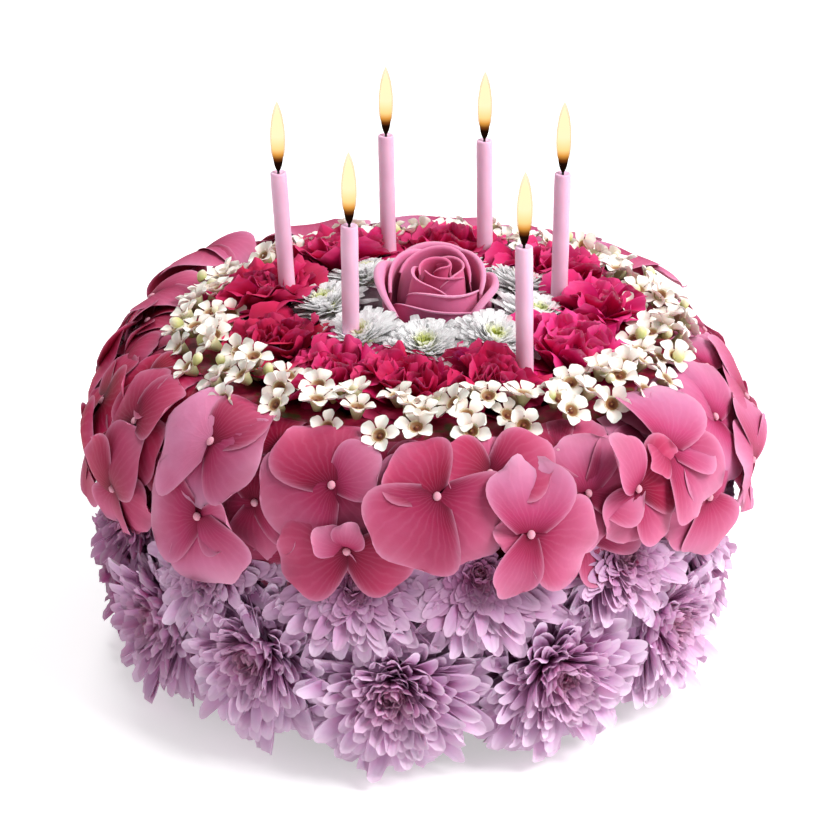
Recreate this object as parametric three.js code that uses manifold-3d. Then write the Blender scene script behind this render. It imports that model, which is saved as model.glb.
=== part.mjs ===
// A fresh-flower arrangement in the shape of a birthday cake, with six lit candles.
// Units are millimetres, +Z is up, the front faces -Y, and the cake stands on z = 0 on the Z axis.
import * as THREE from 'three';
import { mergeVertices } from 'three/addons/utils/BufferGeometryUtils.js';
import Module from 'manifold-3d';

const wasm = await Module();
wasm.setup();

// Driving dimensions
const CORE_RADIUS = 104;
const CORE_HEIGHT = 120;
const CORE_CHAMFER = 4;
const CORE_SIDES = 24;
const GAP = 0.4;
const SMALLEST_DETAIL = 0.2;

const MUM_FACE_RADIUS = 137;
const MUM_PETAL_LENGTH = 39;
const MUM_BAND_TOP = 90;

const COLLAR_RADIUS = 111;
const COLLAR_HEIGHT = 99;
const COLLAR_REACH = 24;
const COLLAR_RISE = 36;
const FLORET_RADIUS = 25;
const COLLAR_ARCS = 4;
const PAD_STEPS = 6;
const FIRST_COLLAR_SEAM = 80;

const WAX_RING_INSIDE = 89.4;
const WAX_RING_OUTSIDE = 103;
const WAX_RING_TOP = 139;
const WAX_FLOWER_RADIUS = 8;
const WAX_INSIDE_LIMIT = 88.3;
const WAX_OUTSIDE_LIMIT = 106.6;
const COLLAR_INSIDE_LIMIT = 107.2;

const CARNATION_RING = 71;
const CARNATION_RADIUS = 27;
const CARNATION_HEIGHT = 145;
const CARNATION_OUTSIDE_LIMIT = 87.2;
const DAISY_RING = 43;
const DAISY_RADIUS = 18.5;
const DAISY_HEIGHT = 146;
const TOP_CENTRE = { x: 4, y: -1 };
const ROSE_CENTRE = { x: 6, y: -5, z: 149 };

const CANDLE_RADIUS = 3.45;
const CANDLE_BASE = 121.5;
const CANDLE_SIGHT_HEIGHT = 148;
const WICK_RADIUS = 0.6;
const WICK_LENGTH = 5;
const FLAME_LIFT = 5.5;
const FLAME_HEIGHT = 23;
const FLAME_RADIUS = 3.1;

// Angles are in degrees, counted from the front, and grow towards +X.
const LOWER_MUMS = [
  { angle: -79, height: 41 }, { angle: -53, height: 40 }, { angle: -29, height: 42 },
  { angle: -5, height: 40 }, { angle: 23.5, height: 44 }, { angle: 50, height: 40 },
  { angle: 78, height: 42 }, { angle: 111, height: 43.5, scale: 1.1 },
  { angle: 145, height: 44, scale: 1.1 }, { angle: 179, height: 43.5, scale: 1.1 },
  { angle: 213, height: 44, scale: 1.1 }, { angle: 247, height: 43.5, scale: 1.1 },
];
const UPPER_MUMS = [
  { angle: -66, height: 78 }, { angle: -38, height: 80 }, { angle: -11, height: 85 },
  { angle: 9, height: 89 }, { angle: 36, height: 84 }, { angle: 63, height: 78 },
  { angle: 95, height: 79, scale: 1.1 }, { angle: 129, height: 79, scale: 1.15 },
  { angle: 164, height: 80, scale: 1.15 }, { angle: 206, height: 78, scale: 1.2 },
  { angle: 250, height: 80, scale: 1.2 },
];

// Florets sit on a swelling collar: rise 0 is its widest line and rise 90 its crown, in degrees.
const FLORETS = [
  { angle: -84, rise: 4, spin: 10 }, { angle: -60, rise: 2, spin: 40 },
  { angle: -35.5, rise: 14, spin: 45 }, { angle: -11, rise: 1, spin: 20 },
  { angle: 16, rise: 15, spin: 5 }, { angle: 36, rise: 24, spin: 60 },
  { angle: 52, rise: 6, spin: 30 }, { angle: 74, rise: 10, spin: 75 },
  { angle: 97, rise: 3, spin: 15 }, { angle: 121, rise: 9, spin: 50 },
  { angle: 145, rise: 4, spin: 80 }, { angle: 169, rise: 10, spin: 25 },
  { angle: 193, rise: 3, spin: 65 }, { angle: 217, rise: 9, spin: 5 },
  { angle: 241, rise: 5, spin: 35 },
  { angle: -74, rise: 50, spin: 70 }, { angle: -57, rise: 46, spin: 20 },
  { angle: -37.8, rise: 56, spin: 0 }, { angle: -15, rise: 48, spin: 55 },
  { angle: 4, rise: 43, spin: 35 }, { angle: 24, rise: 56, spin: 15 },
  { angle: 43, rise: 48, spin: 80 }, { angle: 63, rise: 42, spin: 45 },
  { angle: 84, rise: 50, spin: 10 }, { angle: 109, rise: 47, spin: 60 },
  { angle: 133, rise: 52, spin: 30 }, { angle: 157, rise: 46, spin: 5 },
  { angle: 181, rise: 51, spin: 40 }, { angle: 205, rise: 47, spin: 75 },
  { angle: 229, rise: 52, spin: 20 }, { angle: 254, rise: 48, spin: 50 },
];

const CARNATION_ANGLES = [-61, -31, -5, 20, 56, 92, 130, 170, 212, 256];
const DAISY_ANGLES = [-92, -42, -4, 34, 75, 121, 168, 219];

// A candle is named by where it is seen to leave the flowers and by the middle of its wax top.
const CANDLES = [
  { base: [-54, 8.8], top: [-58.6, 8.8, 199.9] },
  { base: [-28.7, -40], top: [-29.8, -40, 194.7] },
  { base: [-12.4, 56], top: [-15.3, 56, 200.4] },
  { base: [26.8, 53.4], top: [26.9, 53.4, 199] },
  { base: [56.4, 1], top: [56.9, 1, 202.1] },
  { base: [38.2, -61], top: [38.8, -61, 193.8] },
];

// Materials
const finish = (color, roughness, extra = {}) =>
  new THREE.MeshStandardMaterial({ color, roughness, metalness: 0, ...extra });
const foam = finish(0x4a3346, 0.95);
const lavender = finish(0xbf98c8, 0.75);
const pink = finish(0xd9628f, 0.6);
const cream = finish(0xf1e9df, 0.6);
const magenta = finish(0xc2215c, 0.7);
const white = finish(0xf6f5ee, 0.7);
const mauve = finish(0xc95c8e, 0.55);
const wax = finish(0xe0a2cd, 0.4);
const glow = finish(0xffe79a, 0.9, { emissive: 0xffd36b, emissiveIntensity: 1 });

// Solids
const radians = THREE.MathUtils.degToRad;

function direction(angle) {
  return new THREE.Vector3(Math.sin(radians(angle)), -Math.cos(radians(angle)), 0);
}

function around(radius, angle, height) {
  return direction(angle).multiplyScalar(radius).setZ(height);
}

// A steady, evenly spread value from 0 to 1 for each whole number.
function scatter(number) {
  const wave = Math.sin(number * 12.9898) * 43758.5453;
  return wave - Math.floor(wave);
}

function solidFrom(points, faces) {
  return new wasm.Manifold(new wasm.Mesh({
    numProp: 3,
    vertProperties: new Float32Array(points.flatMap((point) => [point.x, point.y, point.z])),
    triVerts: new Uint32Array(faces.flat()),
  }));
}

function solidFromGeometry(geometry) {
  geometry.deleteAttribute('normal');
  geometry.deleteAttribute('uv');
  const merged = mergeVertices(geometry, 1e-4);
  return new wasm.Manifold(new wasm.Mesh({
    numProp: 3,
    vertProperties: new Float32Array(merged.attributes.position.array),
    triVerts: new Uint32Array(merged.index.array),
  }));
}

function geometryFrom(solid) {
  const mesh = solid.simplify(SMALLEST_DETAIL).getMesh();
  const geometry = new THREE.BufferGeometry();
  geometry.setAttribute('position', new THREE.BufferAttribute(mesh.vertProperties.slice(), 3));
  geometry.setIndex(new THREE.BufferAttribute(mesh.triVerts.slice(), 1));
  geometry.computeVertexNormals();
  return geometry;
}

// A placement has its origin at the given point and its local Z along the given axis.
function placement(origin, axis, spin = 0) {
  const turn = new THREE.Quaternion().setFromUnitVectors(new THREE.Vector3(0, 0, 1), axis.clone().normalize());
  const roll = new THREE.Quaternion().setFromAxisAngle(new THREE.Vector3(0, 0, 1), radians(spin));
  return new THREE.Matrix4().compose(origin, turn.multiply(roll), new THREE.Vector3(1, 1, 1));
}

// A bloom is one closed body of rings between a lowest and a highest point on its axis.
// Each ring has two points a petal: [tip radius, tip height, notch radius, notch height],
// and the rings marked turned have their tips over the notches of the others.
function bloomBody({ petals, rings, top, bottom }, place) {
  const count = petals * 2;
  const points = [new THREE.Vector3(0, 0, bottom)];
  rings.forEach(([tipRadius, tipHeight, notchRadius, notchHeight, turned]) => {
    for (let index = 0; index < count; index += 1) {
      const tip = (index % 2 === 0) !== (turned === true);
      const radius = tip ? tipRadius : notchRadius;
      const angle = (index / count) * 2 * Math.PI;
      points.push(new THREE.Vector3(
        Math.cos(angle) * radius, Math.sin(angle) * radius, tip ? tipHeight : notchHeight));
    }
  });
  points.push(new THREE.Vector3(0, 0, top));
  return ringedSolid(points, count, rings.length, place);
}

function ringedSolid(points, count, rings, place) {
  const last = points.length - 1;
  const faces = [];
  for (let index = 0; index < count; index += 1) {
    const next = (index + 1) % count;
    faces.push([0, 1 + next, 1 + index]);
    for (let level = 1; level < rings; level += 1) {
      const low = 1 + (level - 1) * count;
      const high = low + count;
      faces.push([low + index, low + next, high + next], [low + index, high + next, high + index]);
    }
    const rim = last - count;
    faces.push([rim + index, rim + next, last]);
  }
  return solidFrom(points.map((point) => point.applyMatrix4(place)), faces);
}

// A flat open flower: each petal has the same [share of its sector, radius, height] points.
function flatFlower({ petals, edge, top, bottom }, place) {
  const points = [new THREE.Vector3(0, 0, bottom)];
  for (let petal = 0; petal < petals; petal += 1) {
    edge.forEach(([share, radius, height]) => {
      const angle = ((petal + share) / petals) * 2 * Math.PI;
      points.push(new THREE.Vector3(Math.cos(angle) * radius, Math.sin(angle) * radius, height));
    });
  }
  points.push(new THREE.Vector3(0, 0, top));
  return ringedSolid(points, petals * edge.length, 1, place);
}

function joined(solids) {
  return wasm.Manifold.union(solids);
}

function keepSide(solid, normal, offset) {
  return solid.trimByPlane([normal.x, normal.y, normal.z], offset);
}

function keepAbove(solid, height) {
  return keepSide(solid, new THREE.Vector3(0, 0, 1), height);
}

function keepBelow(solid, height) {
  return keepSide(solid, new THREE.Vector3(0, 0, -1), -height);
}

function keepOutside(solid, angle, radius) {
  return keepSide(solid, direction(angle), radius);
}

function keepInside(solid, angle, radius) {
  return keepSide(solid, direction(angle).negate(), -radius);
}

// The largest connected body, so that a trimmed petal tip isn't left loose.
function largest(solid) {
  const bodies = solid.decompose();
  return bodies.reduce((best, body) => (body.volume() > best.volume() ? body : best));
}

// Neighbouring blooms press flat against each other where their room meets.
function sharedRoom(blooms) {
  blooms.forEach((bloom) => {
    blooms.forEach((other) => {
      const between = other.middle.clone().sub(bloom.middle);
      const distance = between.length();
      if (bloom === other || distance > bloom.reach + other.reach) return;
      const share = (distance * distance + bloom.reach ** 2 - other.reach ** 2) / (2 * distance);
      const outward = between.divideScalar(distance);
      const offset = outward.dot(bloom.middle) + share - GAP / 2;
      bloom.solid = keepSide(bloom.solid, outward.clone().negate(), -offset);
    });
  });
}

// Chrysanthemums of the side band
function mum(bloom, index) {
  const tilt = (bloom.height - MUM_BAND_TOP / 2) * 0.004;
  const axis = direction(bloom.angle).setZ(tilt).normalize();
  const place = placement(around(MUM_FACE_RADIUS, bloom.angle, bloom.height), axis, scatter(index) * 360);
  const length = MUM_PETAL_LENGTH * (bloom.scale ?? 1);
  const shape = {
    petals: 7,
    rings: [
      [length, -7, length * 0.8, -6],
      [length * 0.52, -3, length * 0.52, -3],
      [length * 0.78, 2, length * 0.5, 0, true],
      [length * 0.32, 2, length * 0.32, 2],
      [length * 0.5, 5.5, length * 0.28, 3],
    ],
    top: 1,
    bottom: CORE_RADIUS + 1 - MUM_FACE_RADIUS,
  };
  const solid = keepBelow(bloomBody(shape, place), MUM_BAND_TOP);
  return { solid, middle: around(CORE_RADIUS + 18, bloom.angle, bloom.height), reach: length };
}

// Hydrangea collar
function collarPoint(rise, reach = COLLAR_REACH, lift = COLLAR_RISE) {
  return {
    radius: COLLAR_RADIUS + reach * Math.cos(radians(rise)),
    height: COLLAR_HEIGHT + lift * Math.sin(radians(rise)),
  };
}

function collarAxis(angle, rise) {
  const steep = Math.atan2(Math.sin(radians(rise)) / COLLAR_RISE, Math.cos(radians(rise)) / COLLAR_REACH);
  return direction(angle).multiplyScalar(Math.cos(steep)).setZ(Math.sin(steep));
}

function floret({ angle, rise, spin }) {
  const spot = collarPoint(rise);
  const place = placement(around(spot.radius, angle, spot.height), collarAxis(angle, rise), spin);
  const shape = {
    petals: 4,
    edge: [[-0.22, FLORET_RADIUS, 1.5], [0.22, FLORET_RADIUS, 2.5], [0.5, FLORET_RADIUS * 0.45, 0.5]],
    top: 0,
    bottom: -8,
  };
  return keepOutside(flatFlower(shape, place), angle, COLLAR_INSIDE_LIMIT);
}

// A closed body swept round the Z axis from one angle to another.
function arcSolid(profile, from, to, steps) {
  const count = profile.length;
  const points = [];
  for (let step = 0; step <= steps; step += 1) {
    const angle = from + ((to - from) * step) / steps;
    profile.forEach(([radius, height]) => points.push(around(radius, angle, height)));
  }
  const faces = [];
  for (let step = 0; step < steps; step += 1) {
    for (let index = 0; index < count; index += 1) {
      const next = (index + 1) % count;
      const low = step * count;
      const high = low + count;
      faces.push([low + index, low + next, high + next], [low + index, high + next, high + index]);
    }
  }
  const end = steps * count;
  for (let index = 1; index < count - 1; index += 1) {
    faces.push([0, index + 1, index], [end, end + index, end + index + 1]);
  }
  return solidFrom(points, faces);
}

function collarArc(index) {
  const sector = 360 / COLLAR_ARCS;
  const from = FIRST_COLLAR_SEAM + index * sector;
  const to = from + sector;
  const inside = (CORE_RADIUS + GAP) / Math.cos(radians(sector / PAD_STEPS / 2));
  const low = MUM_BAND_TOP + GAP;
  const profile = [[inside, low], [inside, 133]];
  [70, 35, 0].forEach((rise) => {
    const spot = collarPoint(rise, COLLAR_REACH - 5, COLLAR_RISE - 3);
    profile.push([spot.radius, spot.height]);
  });
  profile.push([122, low]);
  const pad = arcSolid(profile, from, to, PAD_STEPS);
  const near = FLORETS.filter(({ angle }) => {
    const offset = ((angle - from) % 360 + 360) % 360;
    return offset < sector + 14 || offset > 346;
  });
  let solid = joined([pad, ...near.map(floret)]);
  solid = keepAbove(solid, low);
  const seamGap = GAP / 2;
  solid = keepSide(solid, direction(from + 90), seamGap);
  solid = keepSide(solid, direction(to - 90), seamGap);
  return largest(solid);
}

// Waxflower ring
function waxFlower(index, count) {
  const outer = index % 2 === 0;
  const angle = (index / count) * 360 + (scatter(index) - 0.5) * 4;
  const radius = (outer ? 100 : 93) + (scatter(index + 100) - 0.5) * 2;
  const height = (outer ? 140 : 142) + (scatter(index + 200) - 0.5) * 4;
  const axis = direction(angle).multiplyScalar(outer ? 0.55 : -0.05).setZ(1)
    .add(new THREE.Vector3(scatter(index + 300) - 0.5, scatter(index + 400) - 0.5, 0).multiplyScalar(0.5));
  const shape = {
    petals: 5,
    edge: [[0, WAX_FLOWER_RADIUS, 2]],
    top: 0,
    bottom: -8,
  };
  const solid = flatFlower(shape, placement(around(radius, angle, height), axis, scatter(index + 500) * 72));
  return keepInside(keepOutside(solid, angle, WAX_INSIDE_LIMIT), angle, WAX_OUTSIDE_LIMIT);
}

function waxRing() {
  const low = CORE_HEIGHT + GAP;
  const profile = [
    [WAX_RING_INSIDE, low], [WAX_RING_OUTSIDE, low], [WAX_RING_OUTSIDE, WAX_RING_TOP - 4],
    [WAX_RING_OUTSIDE - 5, WAX_RING_TOP], [WAX_RING_INSIDE, WAX_RING_TOP], [WAX_RING_INSIDE, low],
  ].map(([radius, height]) => new THREE.Vector2(radius, height));
  const ring = new THREE.LatheGeometry(profile, 24).rotateX(Math.PI / 2);
  const count = 34;
  const flowers = [];
  for (let index = 0; index < count; index += 1) flowers.push(waxFlower(index, count));
  return largest(joined([solidFromGeometry(ring), ...flowers]));
}

// Carnations, chrysanthemum daisies and the rose on top
function carnation(angle, index) {
  const tilt = direction(angle).multiplyScalar(0.2).setZ(1);
  const centre = around(CARNATION_RING, angle, CARNATION_HEIGHT + (scatter(index + 40) - 0.5) * 3);
  const place = placement(centre, tilt, scatter(index + 50) * 360);
  const size = CARNATION_RADIUS;
  const shape = {
    petals: 6,
    rings: [
      [size, 0, size * 0.86, 5],
      [size * 0.5, 5, size * 0.5, 5],
      [size * 0.66, 12, size * 0.52, 9, true],
    ],
    top: 8,
    bottom: CORE_HEIGHT + 1 - CARNATION_HEIGHT,
  };
  let solid = bloomBody(shape, place);
  [-15, 0, 15].forEach((turn) => {
    solid = keepInside(solid, angle + turn, CARNATION_OUTSIDE_LIMIT);
  });
  return { solid, middle: centre, reach: 25 };
}

function daisy(angle, index) {
  const centre = around(DAISY_RING, angle, DAISY_HEIGHT + (scatter(index + 60) - 0.5) * 2);
  centre.x += TOP_CENTRE.x;
  centre.y += TOP_CENTRE.y;
  const tilt = direction(angle).multiplyScalar(0.18).setZ(1);
  const place = placement(centre, tilt, scatter(index + 70) * 360);
  const size = DAISY_RADIUS;
  const shape = {
    petals: 7,
    rings: [
      [size, -1, size * 0.78, 0],
      [size * 0.5, 2, size * 0.5, 2],
      [size * 0.72, 4.5, size * 0.44, 3, true],
      [size * 0.26, 3, size * 0.26, 3],
    ],
    top: 4.5,
    bottom: CORE_HEIGHT + 2 - DAISY_HEIGHT,
  };
  const solid = bloomBody(shape, place);
  return { solid, middle: centre, reach: DAISY_RADIUS };
}

function rose() {
  const centre = new THREE.Vector3(ROSE_CENTRE.x, ROSE_CENTRE.y, ROSE_CENTRE.z);
  const place = placement(centre, new THREE.Vector3(0, -0.08, 1));
  const shape = {
    petals: 6,
    rings: [
      [26, 1, 23.5, -2],
      [17, 0, 17, 0],
      [20.5, 10, 18.5, 7, true],
      [11, 8, 11, 8],
      [13.5, 16, 12, 14],
      [6.5, 13, 6.5, 13],
      [7, 19.5, 6, 18, true],
    ],
    top: 15,
    bottom: CORE_HEIGHT + 1 - ROSE_CENTRE.z,
  };
  const solid = bloomBody(shape, place);
  return { solid, middle: centre, reach: 25 };
}

// Candles
function candleLine({ base, top }) {
  const sight = new THREE.Vector3(base[0], base[1], CANDLE_SIGHT_HEIGHT);
  const end = new THREE.Vector3(...top);
  const along = end.clone().sub(sight).normalize();
  const foot = end.clone().addScaledVector(along, -(end.z - CANDLE_BASE) / along.z);
  return { foot, end, along };
}

function rod(from, along, length, radius, sides) {
  const geometry = new THREE.CylinderGeometry(radius, radius, length, sides)
    .rotateX(Math.PI / 2).translate(0, 0, length / 2);
  return solidFromGeometry(geometry.applyMatrix4(placement(from, along)));
}

function candle(spec) {
  const { foot, end, along } = candleLine(spec);
  const stick = rod(foot, along, end.distanceTo(foot), CANDLE_RADIUS, 10);
  const wick = rod(end.clone().addScaledVector(along, -1), along, WICK_LENGTH + 1, WICK_RADIUS, 4);
  return stick.add(wick);
}

function candleHole(spec) {
  const { foot, end, along } = candleLine(spec);
  return rod(foot.clone().addScaledVector(along, -3), along, end.distanceTo(foot), CANDLE_RADIUS + 0.8, 8);
}

function flame(spec) {
  const { end } = candleLine(spec);
  const profile = [[0, 0], [0.6, 0.1], [1, 0.36], [0.6, 0.68], [0, 1]]
    .map(([width, height]) => new THREE.Vector2(width * FLAME_RADIUS, height * FLAME_HEIGHT));
  const geometry = new THREE.LatheGeometry(profile, 7).rotateX(Math.PI / 2);
  geometry.translate(end.x, end.y, end.z + FLAME_LIFT);
  return solidFromGeometry(geometry);
}

// Assembly
const cake = new THREE.Group();

function addPiece(name, solid, material) {
  const mesh = new THREE.Mesh(geometryFrom(solid), material);
  mesh.name = name;
  cake.add(mesh);
}

function numbered(name, index) {
  return `${name}_${String(index + 1).padStart(2, '0')}`;
}

const coreProfile = [
  [0, 0], [CORE_RADIUS - CORE_CHAMFER, 0], [CORE_RADIUS, CORE_CHAMFER],
  [CORE_RADIUS, CORE_HEIGHT - CORE_CHAMFER], [CORE_RADIUS - CORE_CHAMFER, CORE_HEIGHT], [0, CORE_HEIGHT],
].map(([radius, height]) => new THREE.Vector2(radius, height));
addPiece('foam_core', solidFromGeometry(new THREE.LatheGeometry(coreProfile, CORE_SIDES).rotateX(Math.PI / 2)), foam);

const mums = [...LOWER_MUMS, ...UPPER_MUMS].map(mum);
sharedRoom(mums);
mums.forEach(({ solid }, index) => {
  const lower = index < LOWER_MUMS.length;
  const name = lower ? numbered('mum_lower', index) : numbered('mum_upper', index - LOWER_MUMS.length);
  addPiece(name, largest(solid), lavender);
});

for (let index = 0; index < COLLAR_ARCS; index += 1) {
  addPiece(numbered('hydrangea', index), collarArc(index), pink);
}

addPiece('waxflower_ring', waxRing(), cream);

const carnations = CARNATION_ANGLES.map(carnation);
const daisies = DAISY_ANGLES.map(daisy);
const centreRose = rose();
const topBlooms = [...carnations, ...daisies, centreRose];
sharedRoom(topBlooms);
const holes = CANDLES.map(candleHole);
topBlooms.forEach((bloom) => {
  bloom.solid = largest(holes.reduce((solid, hole) => solid.subtract(hole), bloom.solid));
});
carnations.forEach(({ solid }, index) => addPiece(numbered('carnation', index), solid, magenta));
daisies.forEach(({ solid }, index) => addPiece(numbered('daisy', index), solid, white));
addPiece('rose', centreRose.solid, mauve);

CANDLES.forEach((spec, index) => {
  addPiece(numbered('candle', index), candle(spec), wax);
  addPiece(numbered('flame', index), flame(spec), glow);
});

export default cake;
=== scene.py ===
# The looks of a fresh-flower arrangement in the shape of a birthday cake, with six lit candles.
# Shapes are worked out in millimetres, and become metres when their mesh is made. Random draws have
# fixed seeds, so that each run gives the same flowers.
import math

import bpy
import numpy as np
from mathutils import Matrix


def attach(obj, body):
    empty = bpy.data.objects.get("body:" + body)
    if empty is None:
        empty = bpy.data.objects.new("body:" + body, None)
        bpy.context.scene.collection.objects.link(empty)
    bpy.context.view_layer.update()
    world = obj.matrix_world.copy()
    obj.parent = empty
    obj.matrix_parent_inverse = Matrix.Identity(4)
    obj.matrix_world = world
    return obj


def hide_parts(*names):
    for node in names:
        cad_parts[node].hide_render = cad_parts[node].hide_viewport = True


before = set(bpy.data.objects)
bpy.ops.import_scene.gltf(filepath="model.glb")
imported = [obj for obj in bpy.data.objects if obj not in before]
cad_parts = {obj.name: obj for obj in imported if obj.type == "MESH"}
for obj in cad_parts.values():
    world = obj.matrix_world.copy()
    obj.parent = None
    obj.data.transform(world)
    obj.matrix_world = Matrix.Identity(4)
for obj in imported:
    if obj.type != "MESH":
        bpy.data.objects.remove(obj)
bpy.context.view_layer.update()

MM = 0.001
GOLDEN_ANGLE = math.radians(137.508)
EDGE_ANGLE = math.radians(75)
FLOOR_GAP = 0.4
FLOOR_EASE = 11.0

# Driving sizes and places
MUM_FACE_RADIUS = 137.0
MUM_BAND_TOP = 90.0
COLLAR_RADIUS = 111.0
COLLAR_HEIGHT = 99.0
COLLAR_REACH = 24.0
COLLAR_RISE = 36.0
FLORET_RADIUS = 25.0
CARNATION_RING = 71.0
CARNATION_HEIGHT = 145.0
DAISY_RING = 43.0
DAISY_HEIGHT = 144.0
RING_CENTRE = (4.0, -8.0)
DAISY_CENTRE = (4.0, -7.0)
ROSE_CENTRE = (6.0, -7.0, 147.0)
CANDLE_RADIUS = 3.45
CANDLE_BASE = 121.5
CANDLE_SIGHT_HEIGHT = 148.0

# Each mum is [angle, height, scale]. Angles are in degrees from the front, growing towards +X.
LOWER_MUMS = [
    (-79, 37, 1), (-53, 43, 1), (-29, 47, 1), (-5, 40, 1), (23.5, 40, 1), (50, 42, 1),
    (78, 42, 1), (111, 43.5, 1.1), (145, 44, 1.1), (179, 43.5, 1.1), (213, 44, 1.1), (247, 43.5, 1.1),
]
UPPER_MUMS = [
    (-66, 78, 1), (-38, 80, 1), (-11, 85, 1), (9, 89, 1), (36, 84, 1), (63, 78, 1),
    (95, 79, 1.1), (129, 79, 1.15), (164, 80, 1.15), (206, 78, 1.2), (250, 80, 1.2),
]

# Large florets in front, each [angle, climb, layer, sepals]. Climb is the way up the collar from its
# widest line and layer the height over it. A sepal is [azimuth, length, half width / length, start,
# end, tone]. It bends from its start to its end elevation. Its tone is the sepal's colour with painted
# light and shade in it: 1 when deep or shaded, 0 when pale and below 0 for a painted highlight where
# it is brightly lit.
LARGE_FLORETS = [
    (-60, 22, 4.0, [
        (150, 25, 0.66, 8, -16, 0.75), (50, 24, 0.64, 12, -10, 0.8),
        (-38, 26, 0.66, 10, -18, 0.9), (228, 27, 0.66, 10, -20, 0.75)]),
    (-38, 30, 7.5, [
        (184, 27, 0.76, 24, -34, -0.25), (62, 25, 0.64, 16, -12, 0.7),
        (-14, 25, 0.64, 26, -14, 0.25), (-72, 23, 0.52, 4, -8, 0.1)]),
    (-37, 5, 6.5, [
        (192, 29, 0.66, 14, -24, 0.15), (-66, 28, 0.70, 12, -18, 0.2),
        (-18, 16, 0.70, 10, -4, 0.3), (112, 27, 0.62, 2, -6, 0.7)]),
    (-15, 25, 3.5, [
        (216, 29, 0.72, 10, -16, 0.45), (126, 29, 0.62, 16, -14, 0.75),
        (-58, 24, 0.62, 0, -16, 0.55), (34, 20, 0.56, 28, 0, 0.4)]),
    (-12, 2, 2.0, [
        (196, 28, 0.62, 12, -16, 0.7), (-16, 25, 0.56, 12, -20, 0.75),
        (78, 14, 0.46, 48, 10, 0.3), (146, 15, 0.44, 44, 10, 0.3)]),
    (2, 23, 6.0, [
        (232, 28, 0.70, 14, -20, 0.55), (-40, 28, 0.70, 12, -18, 0.5),
        (128, 21, 0.70, 26, -20, 0.8), (176, 27, 0.52, 2, -14, 0.3)]),
    (11, 30, 2.5, [
        (160, 19, 0.56, 30, 0, 0.85), (8, 25, 0.50, 34, 4, 0.75),
        (266, 14, 0.50, 10, 0, 0.8), (84, 15, 0.60, 30, 6, 0.6)]),
    (16, 9, 8.0, [
        (86, 25, 0.64, 20, -20, 0.1), (248, 26, 0.35, 10, -12, 0.35),
        (-24, 27, 0.64, 10, -20, 0.45), (174, 13, 0.50, 6, 0, 0.5)]),
    (27, 18, 3.0, [
        (84, 22, 0.66, 8, -10, 0.3), (6, 25, 0.64, 8, -12, 0.4),
        (186, 24, 0.60, 6, -8, 0.35), (270, 22, 0.62, 10, -14, 0.4)]),
    (36, 15, 4.5, [
        (122, 26, 0.34, 52, 24, 0.35), (8, 23, 0.62, 22, -8, 0.85),
        (-46, 24, 0.62, 12, -14, 0.45), (230, 21, 0.60, 8, -12, 0.4)]),
    (44, 24, 8.0, [
        (60, 25, 0.70, 20, -24, 0.0), (10, 25, 0.64, 8, -14, 0.1),
        (-56, 31, 0.56, 12, -20, 0.3), (194, 14, 0.50, 30, 0, 0.7)]),
]

# The other florets, each [angle, climb, spin, scale, layer]
FLORETS = [
    (-81, -6, 30, 1.05, 5), (-86, 26, 60, 0.95, -1), (-66, 37, 15, 0.8, 2), (-60, -4, 70, 0.95, 6),
    (-50, 38, 35, 0.8, 0), (-78, 14, 20, 1.0, 3), (-28, 14, 0, 0.95, 1), (-26, 36, 50, 0.9, 0),
    (24, 35, 20, 0.85, 1), (50, 38, 75, 0.8, 1), (53, -1, 5, 1.0, 4), (62, 22, 40, 1.05, 4),
    (70, -2, 65, 1.0, 6), (75, 34, 25, 0.85, 0), (82, 12, 80, 1.0, 3), (-98, 36, 45, 0.8, -1),
    (-100, 8, 10, 1.0, 3), (97, 0, 15, 0.95, 1), (98, 30, 50, 0.85, -2), (112, 18, 60, 1.0, 0),
    (121, -3, 50, 1.0, 4), (129, 34, 30, 0.95, 9), (145, 0, 80, 1.0, 4), (152, 36, 0, 0.9, 9),
    (158, 16, 5, 1.0, 2), (169, -2, 25, 1.0, 5), (176, 37, 40, 0.9, 10), (186, 12, 65, 1.0, 4),
    (196, -4, 20, 1.0, 6), (203, 34, 75, 0.95, 10), (212, 12, 5, 1.0, 4), (222, -2, 50, 1.0, 6),
    (230, 34, 20, 1.0, 14), (238, 12, 35, 1.0, 4), (249, -4, 70, 1.0, 6), (252, 34, 50, 0.95, 6),
    (80, -10, 40, 1.0, 3),
]
FIRST_COLLAR_SEAM = 80.0
COLLAR_ARCS = 4
HEAD_SPAN = 360 / COLLAR_ARCS

# Each carnation is [angle, scale, tone], tone 0 bright magenta and 1 deep crimson.
CARNATIONS = [
    (-61, 1.05, 0.9), (-31, 1.0, 0.4), (-5, 0.98, 0.65), (20, 0.98, 0.7), (56, 1.18, 0.0),
    (92, 1.05, 0.2), (130, 1.1, 0.4), (170, 1.15, 0.5), (212, 1.2, 0.6), (256, 1.2, 0.8),
]
DAISY_ANGLES = (-92, -42, -4, 34, 75, 121, 168, 219)

# Each candle is where it leaves the flowers, at the sight height, and the middle of its wax top.
CANDLES = [
    ((-56.3, 8.8), (-58.9, 8.8, 199.9)),
    ((-28.7, -40), (-28.9, -40, 194.7)),
    ((-14.4, 56), (-15.3, 56, 200.4)),
    ((27.6, 53.4), (26.7, 53.4, 199)),
    ((56.8, 1), (56.9, 1, 202.1)),
    ((39.7, -61), (38.5, -61, 193.8)),
]


# Placing
def direction(angle):
    return np.array([math.sin(math.radians(angle)), -math.cos(math.radians(angle)), 0.0])


def around(radius, angle, height):
    return direction(angle) * radius + np.array([0, 0, height])


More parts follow.
